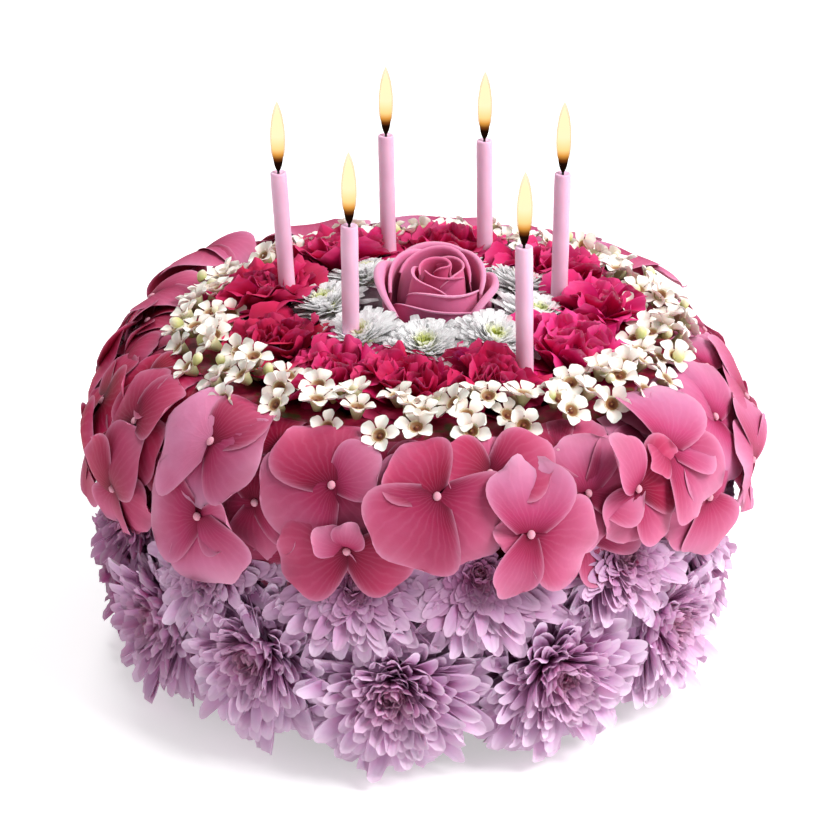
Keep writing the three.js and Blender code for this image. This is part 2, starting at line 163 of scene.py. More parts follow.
def turned(axes, spins):
    """Rotations that take local Z to each axis, after a spin in degrees about Z."""
    axes = np.atleast_2d(np.asarray(axes, float))
    axes = axes / np.linalg.norm(axes, axis=1, keepdims=True)
    cross = np.zeros((len(axes), 3, 3))
    cross[:, :2, 2] = axes[:, :2]
    cross[:, 2, :2] = -axes[:, :2]
    tilt = np.eye(3) + cross + cross @ cross / (1 + axes[:, 2])[:, None, None]
    return tilt @ about_z(np.radians(np.broadcast_to(spins, len(axes))))


def about_z(angles):
    angles = np.atleast_1d(angles)
    turn = np.zeros((len(angles), 3, 3))
    turn[:, 0, 0] = np.cos(angles)
    turn[:, 0, 1] = -np.sin(angles)
    turn[:, 1, 0] = np.sin(angles)
    turn[:, 1, 1] = np.cos(angles)
    turn[:, 2, 2] = 1
    return turn


def carried(points, rotation, origin):
    """Points in a flower's own frame, taken to the cake's frame."""
    rotation = np.broadcast_to(rotation, (len(points), 3, 3))
    origin = np.broadcast_to(origin, (len(points), 3))
    return np.einsum("nij,npj->npi", rotation, points) + origin[:, None, :]


def over_floor(heights):
    """Low heights eased up, so that petals turn aside over the floor and never pass it."""
    limit = FLOOR_GAP + FLOOR_EASE
    eased = FLOOR_GAP + FLOOR_EASE * np.exp((np.minimum(heights, limit) - limit) / FLOOR_EASE)
    return np.where(heights < limit, eased, heights)


# Meshes
def put(name, data):
    """A new object in the scene."""
    thing = bpy.data.objects.new(name, data)
    bpy.context.collection.objects.link(thing)
    return thing


class Shape:
    """Closed surfaces, and four numbers a point that the materials read."""

    def __init__(self):
        self.points = []
        self.marks = []
        self.faces = {3: [], 4: []}
        self.count = 0

    def add(self, points, faces, marks):
        """Adds equal bodies: points and marks have one row of points for each body."""
        bodies, size = points.shape[:2]
        starts = self.count + size * np.arange(bodies)[:, None, None]
        for table in faces:
            self.faces[table.shape[1]].append((table[None] + starts).reshape(-1, table.shape[1]))
        self.points.append(points.reshape(-1, 3))
        self.marks.append(np.broadcast_to(marks, (bodies, size, 4)).reshape(-1, 4))
        self.count += bodies * size

    def piece(self, name, material, node):
        points = np.concatenate(self.points)
        points[:, 2] = over_floor(points[:, 2])
        tables = [np.concatenate(parts) for parts in self.faces.values() if parts]
        corners = np.concatenate([table.ravel() for table in tables]).astype(np.int32)
        sizes = np.concatenate([np.full(len(table), table.shape[1]) for table in tables])
        starts = np.concatenate([[0], np.cumsum(sizes)[:-1]]).astype(np.int32)
        mesh = bpy.data.meshes.new(name)
        mesh.vertices.add(len(points))
        mesh.vertices.foreach_set("co", (points * MM).astype(np.float32).ravel())
        mesh.loops.add(len(corners))
        mesh.loops.foreach_set("vertex_index", corners)
        mesh.polygons.add(len(starts))
        mesh.polygons.foreach_set("loop_start", starts)
        mesh.update(calc_edges=True)
        mesh.polygons.foreach_set("use_smooth", np.ones(len(starts), dtype=bool))
        mesh.set_sharp_from_angle(angle=EDGE_ANGLE)
        marks = np.concatenate(self.marks)
        for index, mark in enumerate(("along", "across", "seed", "tier")):
            values = mesh.attributes.new(mark, "FLOAT", "POINT")
            values.data.foreach_set("value", marks[:, index].astype(np.float32))
        mesh.materials.append(material)
        thing = put(name, mesh)
        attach(thing, "root")
        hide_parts(node)


class Outline:
    """A petal's outline as a grid: rows run from base to tip, columns from edge to edge."""

    def __init__(self, rows, columns, base, peak, blunt, tip, teeth=0.0):
        self.along = np.repeat(np.linspace(0, 1, rows), columns)
        self.across = np.tile(np.linspace(-1, 1, columns), rows)
        rising = base + (1 - base) * np.sin(np.pi / 2 * np.clip(self.along / peak, 0, 1))
        falling = 1 - (1 - blunt) * np.clip((self.along - peak) / (1 - peak), 0, 1) ** 2
        self.half = np.where(self.along < peak, rising, falling)
        tooth = np.tile(np.where(np.arange(columns) % 2 == 0, 1.0, -1.0), rows)
        self.reach = self.along - tip * self.across ** 2 * self.along ** 3
        self.reach = np.clip(self.reach + teeth * tooth * self.along ** 6, 0, 1)
        top = np.arange(rows * columns).reshape(rows, columns)
        under = top.copy()
        self.inner = top[1:-1, 1:-1].ravel()
        under[1:-1, 1:-1] = rows * columns + np.arange(len(self.inner)).reshape(rows - 2, columns - 2)
        above = [top[:-1, :-1], top[1:, :-1], top[1:, 1:], top[:-1, 1:]]
        below = [under[:-1, 1:], under[1:, 1:], under[1:, :-1], under[:-1, :-1]]
        self.faces = [np.concatenate([
            np.stack([corner.ravel() for corner in above], axis=1),
            np.stack([corner.ravel() for corner in below], axis=1),
        ])]


# A petal's bend is worked out in this many steps.
BEND_STEPS = 24


def column(values, count):
    return np.broadcast_to(np.asarray(values, float), (count,))[:, None]


def petals(outline, count, azimuth, length, width, start, end, root, height,
           cup=0.0, wave=0.0, waves=2.0, phase=0.0, twist=0.0, lean=0.0, thick=0.3, power=1.0):
    """Petals in their flower's frame, Z along its axis. Angles are in radians. A petal bends from its
    start to its end elevation, later on when power is over 1. Its root is at a radius and a height."""
    steps = np.linspace(0, 1, BEND_STEPS + 1)
    start, end, length = column(start, count), column(end, count), column(length, count)
    angles = start + (end - start) * steps ** power

    def travelled(slopes):
        means = (slopes[:, 1:] + slopes[:, :-1]) / 2
        return np.concatenate([np.zeros((count, 1)), np.cumsum(means, axis=1)], axis=1)

    place = outline.reach * BEND_STEPS
    low = np.minimum(place.astype(int), BEND_STEPS - 1)
    part = place - low

    def at(table):
        return table[:, low] * (1 - part) + table[:, low + 1] * part

    forward = at(travelled(np.cos(angles))) * length / BEND_STEPS
    upward = at(travelled(np.sin(angles))) * length / BEND_STEPS
    angle = at(angles)
    half = column(width, count) * outline.half
    side = outline.across * half
    lift = column(cup, count) * half * outline.across ** 2
    ripple = np.sin(column(waves, count) * np.pi * outline.across + column(phase, count))
    lift = lift + column(wave, count) * ripple * outline.along ** 1.5
    turn = column(twist, count) * outline.along
    side, lift = side * np.cos(turn) - lift * np.sin(turn), side * np.sin(turn) + lift * np.cos(turn)
    side = side + column(lean, count) * length * outline.reach ** 2

    def points(raised):
        return np.stack([
            column(root, count) + forward - np.sin(angle) * raised,
            side,
            column(height, count) + upward + np.cos(angle) * raised,
        ], axis=2)

    both = np.concatenate([points(lift), points(lift - thick)[:, outline.inner]], axis=1)
    return np.einsum("nij,npj->npi", about_z(np.broadcast_to(azimuth, count)), both)


def petal_marks(outline, count, seeds, tiers):
    rows = np.concatenate([np.arange(len(outline.along)), outline.inner])
    marks = np.zeros((count, len(rows), 4))
    marks[:, :, 0] = outline.along[rows]
    marks[:, :, 1] = outline.across[rows]
    marks[:, :, 2] = column(seeds, count)
    marks[:, :, 3] = column(tiers, count)
    return marks


def lathe(profile, segments, tier=0.0):
    """A closed body of revolution from a list of [radius, height], both ends on the axis."""
    profile = np.asarray(profile, float)
    angles = np.linspace(0, 2 * np.pi, segments, endpoint=False)
    rings = profile[1:-1]
    points = np.stack([
        (rings[:, :1] * np.cos(angles)).ravel(),
        (rings[:, :1] * np.sin(angles)).ravel(),
        np.repeat(rings[:, 1], segments),
    ], axis=1)
    points = np.concatenate([[[0, 0, profile[0, 1]]], points, [[0, 0, profile[-1, 1]]]])
    near = np.arange(segments)
    far = (near + 1) % segments
    last = len(points) - 1
    fans = [np.stack([np.zeros(segments, int), 1 + far, 1 + near], axis=1),
            np.stack([last - segments + near, last - segments + far, np.full(segments, last)], axis=1)]
    bands = [np.stack([low + near, low + far, low + segments + far, low + segments + near], axis=1)
             for low in 1 + segments * np.arange(len(rings) - 1)]
    marks = np.zeros((len(points), 4))
    marks[:, 0] = np.concatenate([[0], np.repeat(np.linspace(0, 1, len(profile))[1:-1], segments), [1]])
    marks[:, 3] = tier
    return points, [np.concatenate(fans), np.concatenate(bands)], marks


def blend(low, high, share):
    return low + (high - low) * share


# Materials
class Look:
    """A node material. The calls from add to mix each give back an output of the nodes they add."""

    def __init__(self, name, roughness, subsurface=0.0, sheen=0.0, specular=0.3,
                 scatter=(1.0, 0.35, 0.45), scatter_depth=2.0):
        self.material = bpy.data.materials.new(name)
        self.material.use_nodes = True
        self.tree = self.material.node_tree
        self.shader = self.tree.nodes["Principled BSDF"]
        for socket, value in (
                ("Roughness", roughness), ("Specular IOR Level", specular), ("Sheen Weight", sheen),
                ("Subsurface Weight", subsurface), ("Subsurface Radius", scatter),
                ("Subsurface Scale", scatter_depth * MM)):
            self.shader.inputs[socket].default_value = value

    def add(self, kind, inputs, output=0, **settings):
        made = self.tree.nodes.new(kind)
        for name, value in settings.items():
            setattr(made, name, value)
        for name, value in inputs.items():
            if isinstance(value, bpy.types.NodeSocket):
                self.tree.links.new(value, made.inputs[name])
            else:
                made.inputs[name].default_value = value
        return made.outputs[output]

    def mark(self, name):
        return self.add("ShaderNodeAttribute", {}, output="Fac", attribute_name=name)

    def place(self):
        return self.add("ShaderNodeTexCoord", {}, output="Object")

    def sum(self, operation, first, second=0.0, third=0.0):
        """One step of arithmetic."""
        return self.add("ShaderNodeMath", {0: first, 1: second, 2: third}, operation=operation)

    def noise(self, scale, detail=2.0):
        inputs = {"Vector": self.place(), "Scale": scale, "Detail": detail}
        return self.add("ShaderNodeTexNoise", inputs, output="Fac")

    def ramp(self, share, stops):
        made = self.tree.nodes.new("ShaderNodeValToRGB")
        self.tree.links.new(share, made.inputs[0])
        steps = made.color_ramp.elements
        while len(steps) < len(stops):
            steps.new(0.5)
        for step, (position, colour) in zip(steps, stops):
            step.position = position
            step.color = linear(colour)
        return made.outputs[0]

    def mix(self, share, first, second, way="MIX"):
        made = self.tree.nodes.new("ShaderNodeMix")
        made.data_type = "RGBA"
        made.blend_type = way
        for name, value in (("Factor_Float", share), ("A_Color", first), ("B_Color", second)):
            socket = next(item for item in made.inputs if item.identifier == name)
            if isinstance(value, bpy.types.NodeSocket):
                self.tree.links.new(value, socket)
            elif name == "Factor_Float":
                socket.default_value = value
            else:
                socket.default_value = linear(value)
        return next(item for item in made.outputs if item.identifier == "Result_Color")

    def colour(self, socket):
        self.tree.links.new(socket, self.shader.inputs["Base Color"])

    def relief(self, height, depth):
        bump = self.add("ShaderNodeBump", {"Height": height, "Distance": depth * MM, "Strength": 0.8},
                        output="Normal")
        self.tree.links.new(bump, self.shader.inputs["Normal"])

    def ridges(self, turns, depth):
        """Fine ridges along a petal."""
        self.relief(self.sum("SINE", self.sum("MULTIPLY", self.mark("across"), turns)), depth)


def linear(colour):
    """A colour as seen on a screen, 0 to 255, as the linear light that shaders use."""
    shares = [value / 255 for value in colour]
    return tuple([share / 12.92 if share <= 0.04045 else ((share + 0.055) / 1.055) ** 2.4
                  for share in shares] + [1.0])


def mum_material():
    look = Look("mum_petals", 0.6, subsurface=0.2, specular=0.12)
    petal = look.ramp(look.mark("along"), [
        (0.0, (98, 2, 62)), (0.3, (168, 56, 132)), (0.55, (210, 148, 196)), (0.8, (226, 186, 220)),
        (1.0, (240, 212, 236))])
    edge = look.sum("POWER", look.sum("ABSOLUTE", look.mark("across")), 3.0)
    petal = look.mix(look.sum("MULTIPLY", edge, 0.5), petal, (240, 208, 236))
    # Painted shade: the seed mark darkens a petal by its random tone and by the shade painted at the sides
    # and under the collar.
    tone_and_shade = look.sum("MINIMUM", look.sum("MULTIPLY", look.mark("seed"), 0.3), 0.9)
    petal = look.mix(tone_and_shade, petal, (172, 98, 150))
    inner = look.ramp(look.mark("tier"), [
        (0.0, (176, 128, 80)), (0.07, (196, 132, 150)), (0.3, (240, 214, 230)), (0.6, (255, 255, 255))])
    look.colour(look.mix(0.8, petal, inner, "MULTIPLY"))
    look.ridges(9.0, 0.05)
    return look.material


def hydrangea_material():
    """Tier 1 is a floret's bead, and tier 2 the inside of the head, in a dark painted shade. The seed mark
    is a sepal's tone, with painted light and shade in it.
    """
    look = Look("hydrangea_petals", 0.6, subsurface=0.2, specular=0.1)
    along, across = look.mark("along"), look.mark("across")
    tone, tier = look.mark("seed"), look.mark("tier")
    deep = look.ramp(along, [
        (0.0, (78, 0, 22)), (0.25, (130, 4, 40)), (0.65, (172, 24, 72)), (1.0, (194, 70, 112))])
    pale = look.ramp(along, [
        (0.0, (132, 10, 56)), (0.25, (180, 66, 112)), (0.65, (198, 120, 158)), (1.0, (208, 152, 180))])
    petal = look.mix(tone, pale, deep)
    # Painted highlight: sepals with a tone below 0 are made paler, as if brightly lit.
    painted_highlight = look.sum("MAXIMUM", look.sum("MULTIPLY", tone, -2.0), 0.0)
    petal = look.mix(painted_highlight, petal, (236, 158, 196))
    blush = look.ramp(look.noise(45.0, 3.0), [(0.35, (255, 255, 255)), (0.7, (228, 164, 186))])
    petal = look.mix(0.6, petal, blush, "MULTIPLY")
    side = look.sum("POWER", look.sum("ABSOLUTE", across), 10.0)
    edge = look.sum("MAXIMUM", side, look.sum("POWER", along, 22.0))
    petal = look.mix(look.sum("MULTIPLY", edge, 0.5), petal, (228, 152, 186))
    fan = look.sum("DIVIDE", across, look.sum("ADD", along, 0.3))
    wobble = look.sum("MULTIPLY", look.noise(160.0, 3.0), 4.0)
    vein = look.sum("SINE", look.sum("MULTIPLY_ADD", fan, 13.0, wobble))
    vein = look.sum("POWER", look.sum("ABSOLUTE", vein), 8.0)
    petal = look.mix(look.sum("MULTIPLY", vein, 0.06), petal, (226, 136, 170))
    petal = look.mix(look.sum("GREATER_THAN", tier, 0.5), petal, (216, 150, 168))
    # Painted shade: the inside of the head, seen only in the gaps, is coloured dark.
    inside = look.ramp(look.noise(120.0, 3.0), [(0.35, (70, 4, 26)), (0.7, (122, 14, 50))])
    look.colour(look.mix(look.sum("GREATER_THAN", tier, 1.5), petal, inside))
    look.relief(look.sum("MULTIPLY_ADD", vein, 0.25, look.noise(420.0, 3.0)), 0.14)
    return look.material


def carnation_material():
    look = Look("carnation_petals", 0.6, subsurface=0.12, specular=0.15)
    along = look.mark("along")
    deep = look.ramp(along, [
        (0.0, (40, 0, 12)), (0.4, (108, 0, 32)), (0.78, (168, 12, 54)), (1.0, (196, 38, 82))])
    bright = look.ramp(along, [
        (0.0, (84, 0, 36)), (0.4, (172, 4, 78)), (0.78, (210, 26, 112)), (1.0, (230, 78, 148))])
    petal = look.mix(look.mark("seed"), bright, deep)
    pool = look.ramp(look.noise(60.0, 2.0), [(0.35, (255, 255, 255)), (0.65, (255, 180, 225))])
    look.colour(look.mix(0.7, petal, pool, "MULTIPLY"))
    look.ridges(24.0, 0.06)
    return look.material


def daisy_material():
    look = Look("daisy_petals", 0.55, subsurface=0.7, scatter=(1.0, 1.0, 1.0), scatter_depth=3.0)
    petal = look.ramp(look.mark("along"), [
        (0.0, (236, 238, 206)), (0.25, (250, 250, 242)), (0.6, (255, 254, 255)), (1.0, (255, 255, 255))])
    middle = look.ramp(look.mark("tier"), [
        (0.0, (180, 190, 44)), (0.11, (224, 230, 136)), (0.26, (255, 255, 255))])
    look.colour(look.mix(1.0, petal, middle, "MULTIPLY"))
    look.ridges(8.0, 0.06)
    return look.material


def rose_material():
    look = Look("rose_petals", 0.6, subsurface=0.2, sheen=0.15, specular=0.15)
    petal = look.ramp(look.mark("along"), [
        (0.0, (124, 16, 62)), (0.4, (198, 96, 138)), (0.72, (216, 116, 160)), (1.0, (234, 164, 196))])
    inner = look.ramp(look.mark("tier"), [(0.0, (232, 140, 176)), (0.55, (255, 255, 255))])
    petal = look.mix(0.8, petal, inner, "MULTIPLY")
    look.colour(look.mix(look.sum("MULTIPLY", look.mark("seed"), 0.25), petal, (184, 70, 120)))
    look.relief(look.noise(500.0, 3.0), 0.08)
    return look.material


def waxflower_material():
    """Tier 0 is a petal, 0.5 a cup, 0.75 a bud and 1 the bed of stems."""
    look = Look("waxflower_petals", 0.45, subsurface=0.2)
    along, tier = look.mark("along"), look.mark("tier")
    petal = look.ramp(along, [(0.0, (226, 190, 178)), (0.35, (244, 232, 222)), (1.0, (252, 248, 240))])
    cup = look.ramp(along, [
        (0.0, (120, 128, 60)), (0.5, (220, 210, 176)), (0.62, (158, 112, 70)), (0.85, (100, 30, 32)),
        (1.0, (150, 108, 52))])
    bud = look.ramp(along, [(0.0, (140, 146, 70)), (0.5, (206, 206, 140)), (1.0, (246, 232, 222))])
    bed = look.ramp(look.noise(160.0, 3.0), [
        (0.35, (112, 8, 40)), (0.52, (150, 26, 60)), (0.68, (88, 82, 40))])
    shade = look.mix(look.sum("GREATER_THAN", tier, 0.25), petal, cup)
    shade = look.mix(look.sum("GREATER_THAN", tier, 0.6), shade, bud)
    shade = look.mix(look.sum("GREATER_THAN", tier, 0.9), shade, bed)
    look.colour(shade)
    look.relief(look.noise(900.0, 2.0), 0.1)
    return look.material


def candle_material():
    """Tier 0 is wax and tier 1 the burnt wick."""
    look = Look("candle_wax", 0.42, subsurface=0.35)
    wax = look.ramp(look.noise(60.0, 3.0), [(0.35, (228, 178, 206)), (0.65, (236, 190, 216))])
    look.colour(look.mix(look.mark("tier"), wax, (26, 12, 12)))
    look.relief(look.noise(240.0, 3.0), 0.15)
    return look.material


def foam_material():
    look = Look("foam", 0.95)
    # Painted shade: a dark plum magenta, so that the foam seen in the gaps reads as shaded petals.
    look.colour(look.ramp(look.noise(90.0, 4.0), [(0.3, (52, 10, 38)), (0.7, (84, 30, 66))]))
    look.relief(look.noise(900.0, 3.0), 0.4)
    return look.material


def flame_material(name, stops, strength, clear):
    """Glowing gas: its colour changes with height, and clear is how much light passes through."""
    look = Look(name, 1.0)
    shade = look.ramp(look.mark("along"), stops)
    surface = look.add("ShaderNodeEmission", {"Color": shade, "Strength": strength})
    if clear > 0:
        through = look.add("ShaderNodeBsdfTransparent", {})
        surface = look.add("ShaderNodeMixShader", {0: clear, 1: surface, 2: through})
    look.tree.links.new(surface, look.tree.nodes["Material Output"].inputs["Surface"])
    look.tree.nodes.remove(look.shader)
    return look.material


# Chrysanthemums of the side band
MUM_OUTLINE = Outline(6, 5, base=0.3, peak=0.72, blunt=0.7, tip=0.07)
SMALL_MUM_OUTLINE = Outline(5, 3, base=0.4, peak=0.7, blunt=0.75, tip=0.05)
MUM_PETALS = 340
SMALL_MUM_PETALS = 125
# Each of these pairs is a petal's value in the middle of its bloom and at the rim.
MUM_LENGTHS = (7.0, 35.0)
MUM_HALF_WIDTHS = (1.5, 4.4)
MUM_STARTS = (88, 6)
MUM_ENDS = (122, -14)
MUM_ROOTS = (1.0, 7.0)
MUM_BASES = (-4.0, -11.0)
MUM_SIDE_DEPTH = 16.0
MUM_FRONT_DEPTH = 3.0
MUM_RIGHT_DEPTH = 3.5
MUM_TILT = 0.004
# Painted shade darkens the petals at both sides and, in front, those just under the collar, where its
# shadow falls.
SIDE_SHADE_START = 0.7
MUM_LEFT_SHADE = 9.0
MUM_RIGHT_SHADE = 3.0
FRONT_SHADE = 2.3
FRONT_SHADE_START = 64
FRONT_SHADE_RISE = 24
# The lower petals of the lower row turn out over the floor.
LOWER_ROW_LIMIT = MUM_BAND_TOP / 2 + 10
TURN_OUT = 0.22
TURN_OUT_START = 12
TURN_OUT_REACH = 30
PETAL_LIMIT = MUM_BAND_TOP + 9
TUCK_RADIUS = 131.0
TUCK_HEIGHT = 90.0
TUCK_SLOPE = 0.6
TUCK_REACH = 30
TUCK_SHARE = 0.8


def mum(shape, seed, angle, height, scale):
    """The small petals in the middle have a coarser outline than those round them."""
    rng = np.random.default_rng(seed)
    count = MUM_PETALS
    side = math.sin(math.radians(angle))
    ahead = max(math.cos(math.radians(angle)), 0)
    shade = MUM_LEFT_SHADE * max(-side - SIDE_SHADE_START, 0)
    shade += MUM_RIGHT_SHADE * max(side - SIDE_SHADE_START, 0)
    tier = ((np.arange(count) + 0.5) / count) ** 0.8
    azimuth = np.arange(count) * GOLDEN_ANGLE + rng.normal(0, 0.15, count)
    length = blend(*MUM_LENGTHS, tier ** 0.8) * scale * rng.normal(1, 0.1, count)
    width = blend(*MUM_HALF_WIDTHS, tier ** 0.7) * scale
    start = np.radians(blend(*MUM_STARTS, tier ** 0.85) + rng.normal(0, 8, count))
    end = np.radians(blend(*MUM_ENDS, tier ** 0.7) + rng.normal(0, 15, count))
    root = blend(*MUM_ROOTS, tier)
    base = blend(*MUM_BASES, tier ** 1.2)
    cup = rng.uniform(0.25, 0.85, count)
    twist = rng.normal(0, 0.3, count)
    lean = rng.normal(0, 0.06, count)
    # A random tone, plus painted shade at both sides.
    seeds = rng.uniform(-0.4, 0.7, count) + shade
    values = np.stack([azimuth, length, width, start, end, root, base, cup, twist, lean, seeds, tier])
    axis = direction(angle) + np.array([0, 0, (height - MUM_BAND_TOP / 2) * MUM_TILT])
    depth = blend(MUM_SIDE_DEPTH, MUM_FRONT_DEPTH, ahead) + MUM_RIGHT_DEPTH * side
    origin = around(MUM_FACE_RADIUS - depth, angle, height)
    split = ((SMALL_MUM_OUTLINE, values[:, :SMALL_MUM_PETALS]), (MUM_OUTLINE, values[:, SMALL_MUM_PETALS:]))
    for outline, part in split:
        azimuth, length, width, start, end, root, base, cup, twist, lean, seeds, tiers = part
        local = petals(outline, len(seeds), azimuth, length, width, start, end, root, base,
                       cup=cup, twist=twist, lean=lean, thick=0.35)
        world = carried(local, turned(axis, 0)[0], origin)
        if height < LOWER_ROW_LIMIT:
            below = np.clip(height - TURN_OUT_START - world[:, :, 2:], 0, TURN_OUT_REACH)
            world[:, :, :2] += direction(angle)[:2] * TURN_OUT * below
        world = tucked(world)
        # Painted shadow of the collar on the front petals just under it.
        collar_shadow = np.clip((world[:, :, 2].mean(axis=1) - FRONT_SHADE_START) / FRONT_SHADE_RISE, 0, 1)
        seeds = seeds + FRONT_SHADE * ahead * collar_shadow
        keep = world[:, :, 2].max(axis=1) < PETAL_LIMIT
        shape.add(world[keep], outline.faces, petal_marks(outline, len(seeds), seeds, tiers)[keep])


def tucked(points):
    """Petals pressed in where the collar hangs over them."""
    radius = np.hypot(points[:, :, 0], points[:, :, 1])
    limit = TUCK_RADIUS + TUCK_SLOPE * np.clip(TUCK_HEIGHT - points[:, :, 2], 0, TUCK_REACH)
    pressed = radius - TUCK_SHARE * np.maximum(radius - limit, 0)
    points[:, :, :2] *= (pressed / radius)[:, :, None]
    return points


# Hydrangea collar
SEPAL_OUTLINE = Outline(11, 9, base=0.34, peak=0.55, blunt=0.58, tip=0.2)
HEAD_OUTLINE = Outline(11, 19, base=1.0, peak=0.5, blunt=1.0, tip=0.0)
HEAD_DEPTH = 6.0
HEAD_THICKNESS = 3.0
HEAD_RISES = (-16, 122)
HEAD_HALF_ANGLE = 44.7
COLLAR_RISES = np.radians(np.linspace(0, 130, 131))
COLLAR_SPEEDS = np.hypot(COLLAR_REACH * np.sin(COLLAR_RISES), COLLAR_RISE * np.cos(COLLAR_RISES))
COLLAR_CLIMBS = np.concatenate([[0], np.cumsum((COLLAR_SPEEDS[1:] + COLLAR_SPEEDS[:-1]) / 2
                                               * np.diff(COLLAR_RISES))])
PRESS_CLIMBS = (6, 30, 46, 58)
PRESS_SHARES = (1.0, 0.75, 0.5, 0.1)
BEAD = [(0, -0.6), (1.2, -0.2), (1.5, 0.7), (1.1, 1.5), (0, 1.9)]
# The four sepals of a floret start a little over one another.
SEPAL_ROOTS = np.array([1.2, 0.9, 0.3, 0.0])
# Each row of small florets is [climb, number, scale]. They keep clear of the large ones in front.
FILLER_ROWS = ((-2, 13, 0.9), (14, 12, 1.0), (28, 13, 0.9), (38, 14, 0.7))
FILLER_LAYER = -3.5
CLEAR_SHARE = 0.72
CLEAR_CLIMBS = (5, 33)
SIDE_START = 0.6
SHOULDER_DEPTH = 4.5
SHOULDER_START = 104
SHOULDER_RISE = 16
UNDERSIDE_SLOPE = 0.15
UNDERSIDE_TOP = 94
UNDERSIDE_FALL = 24


def collar_spot(rise, out):
    rise = np.radians(rise)
    radius = COLLAR_RADIUS + (COLLAR_REACH + out) * np.cos(rise)
    return radius, COLLAR_HEIGHT + (COLLAR_RISE + out) * np.sin(rise)


def over_collar(angle, sideways, climb, out):
    """Places over the collar's surface, which hangs straight down below its widest line. Towards
    the crown and the ring of small flowers what stands over it is pressed in."""
    rise = np.interp(climb, COLLAR_CLIMBS, COLLAR_RISES)
    steep = np.arctan2(np.sin(rise) / COLLAR_RISE, np.cos(rise) / COLLAR_REACH)
    out = out * np.interp(climb, PRESS_CLIMBS, PRESS_SHARES)
    radius = COLLAR_RADIUS + COLLAR_REACH * np.cos(rise)
    turn = np.radians(angle) + sideways / radius
    radius = radius + out * np.cos(steep)
    height = COLLAR_HEIGHT + COLLAR_RISE * np.sin(rise) + out * np.sin(steep) + np.minimum(climb, 0)
    return np.stack([radius * np.sin(turn), -radius * np.cos(turn), height], axis=-1)


def floret(shape, rng, angle, climb, layer, sepals):
    """Four sepals and a bead, laid over the collar."""
    azimuth, length, half, start, end, tone = np.array(sepals, float).T
    local = petals(
        SEPAL_OUTLINE, 4, np.radians(azimuth), length, length * half, np.radians(start), np.radians(end),
        root=0.6, height=layer + SEPAL_ROOTS, cup=rng.uniform(-0.12, 0.26, 4),
        wave=rng.uniform(0.5, 1.9, 4), waves=rng.uniform(0.6, 1.8, 4), phase=rng.uniform(0, 6.3, 4),
        twist=rng.normal(0, 0.14, 4), thick=0.45)
    marks = petal_marks(SEPAL_OUTLINE, 4, np.clip(tone, -0.3, 1), 0)
    world = over_collar(angle, local[:, :, 0], climb + local[:, :, 1], local[:, :, 2])
    shape.add(world, SEPAL_OUTLINE.faces, marks)
    bead, faces, marks = lathe(BEAD, 12, tier=1)
    world = over_collar(angle, bead[:, 0], climb + bead[:, 1], layer + 0.8 + bead[:, 2])
    shape.add(world[None], faces, marks)


def plain_floret(shape, rng, angle, climb, spin, scale, layer):
    """A floret of four like sepals. Its tone has painted light in it: it is paler the more it faces the
    right, where the lamp is, with a random part besides.
    """
    # Painted light: paler towards the lamp at the right, plus a random tone.
    tone = 0.55 - 0.35 * math.sin(math.radians(angle - 10)) + rng.uniform(-0.3, 0.3)
    lift = np.interp(layer, (-3, 0, 4), (10, 18, 26))
    sepals = np.stack([
        spin + 90 * np.arange(4) + rng.normal(0, 7, 4),
        FLORET_RADIUS * scale * rng.normal(1.02, 0.07, 4),
        rng.uniform(0.6, 0.72, 4),
        rng.uniform(2, lift, 4),
        rng.uniform(-34, 0, 4),
        tone + rng.normal(0, 0.12, 4),
    ], axis=1)
    floret(shape, rng, angle, climb, layer, sepals)


def small_florets():
    """Florets that fill in behind the others, in rows round the collar."""
    rng = np.random.default_rng(21)
    found = []
    for climb, count, scale in FILLER_ROWS:
        turn = rng.uniform(0, 360)
        for index in range(count):
            angle = turn + (index + rng.uniform(-0.25, 0.25)) / count * 360
            spot = (angle, climb + rng.uniform(-3, 3), rng.uniform(0, 90), scale * rng.uniform(0.9, 1.1),
                    FILLER_LAYER)
            ahead = math.cos(math.radians(angle)) > CLEAR_SHARE
            if not (ahead and CLEAR_CLIMBS[0] < climb < CLEAR_CLIMBS[1]):
                found.append(spot)
    return found


def narrowed(points):
    """The collar is slimmer at both sides, above its widest line and below it."""
    radius = np.hypot(points[:, 0], points[:, 1])
    side = np.clip((np.abs(points[:, 0]) / radius - SIDE_START) / (1 - SIDE_START), 0, 1)
    shoulder = SHOULDER_DEPTH * np.clip((points[:, 2] - SHOULDER_START) / SHOULDER_RISE, 0, 1)
    underside = UNDERSIDE_SLOPE * np.clip(UNDERSIDE_TOP - points[:, 2], 0, UNDERSIDE_FALL)
    kept = 1 - side * (shoulder + underside) / radius
    return points * np.stack([kept, kept, np.ones(len(kept))], axis=1)


def head_inside(shape, start):
    """The inside of one flower head, in a dark painted shade: an uneven shell under its florets."""
    rise = blend(*HEAD_RISES, HEAD_OUTLINE.along)
    angle = np.radians(start + HEAD_SPAN / 2 - HEAD_HALF_ANGLE * HEAD_OUTLINE.across)

    def points(inset):
        uneven = 1.4 * np.sin(angle * 23) * np.cos(rise / 11) - HEAD_DEPTH - inset
        radius, height = collar_spot(rise, uneven)
        return np.stack([radius * np.sin(angle), -radius * np.cos(angle), height], axis=1)

    both = np.concatenate([points(0), points(HEAD_THICKNESS)[HEAD_OUTLINE.inner]])
    shape.add(both[None], HEAD_OUTLINE.faces, petal_marks(HEAD_OUTLINE, 1, 0, 2))


# Rings and the rose on top
WAX_PETAL = Outline(6, 5, base=0.4, peak=0.6, blunt=0.62, tip=0.2)
WAX_PETAL_LENGTH = 5.2
WAX_CUP = [(0, -5), (1.6, -4.4), (3.0, -0.6), (3.35, 0.6), (2.9, 0.9), (2.3, 0.2), (1.2, -0.5), (0.6, 0.2),
           (0, 0.6)]
WAX_BUD = [(0, -3.5), (1.2, -2.6), (2.2, -0.4), (2.1, 1.2), (1.0, 2.7), (0, 3.0)]
WAX_BUD_RADII = (88, 97.5, 105)
